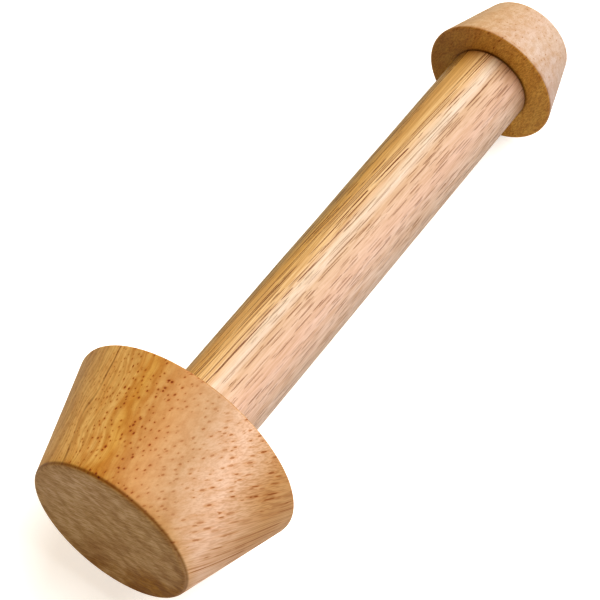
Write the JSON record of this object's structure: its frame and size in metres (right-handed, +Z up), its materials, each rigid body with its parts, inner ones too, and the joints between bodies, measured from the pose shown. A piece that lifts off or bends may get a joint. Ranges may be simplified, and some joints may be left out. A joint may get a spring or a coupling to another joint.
{
  "type": "double-ended pastry tamper",
  "caption": "Plain wooden double-ended pastry tamper: a round handle with a large and a small tapered flat-faced head, lying on its side.",
  "frame": {"origin": "on the table, at the bottom centre of the object's box", "axes": "+Z up from the table that both rims lie on, +X along the tool towards the small head, +Y across it"},
  "size_m": [0.1668, 0.054, 0.0538],
  "materials": {
    "large_head_wood": "fine sanded, dry, semi-matte",
    "handle_wood": "fine sanded, dry, semi-matte",
    "small_head_wood": "fine sanded, dry, semi-matte",
    "glue": "cured wood glue"
  },
  "bodies": {
    "root": {"large_head": "large_head_wood", "handle": "handle_wood", "small_head": "small_head_wood", "large_head_glue": "glue", "small_head_glue": "glue"}
  },
  "joints": []
}
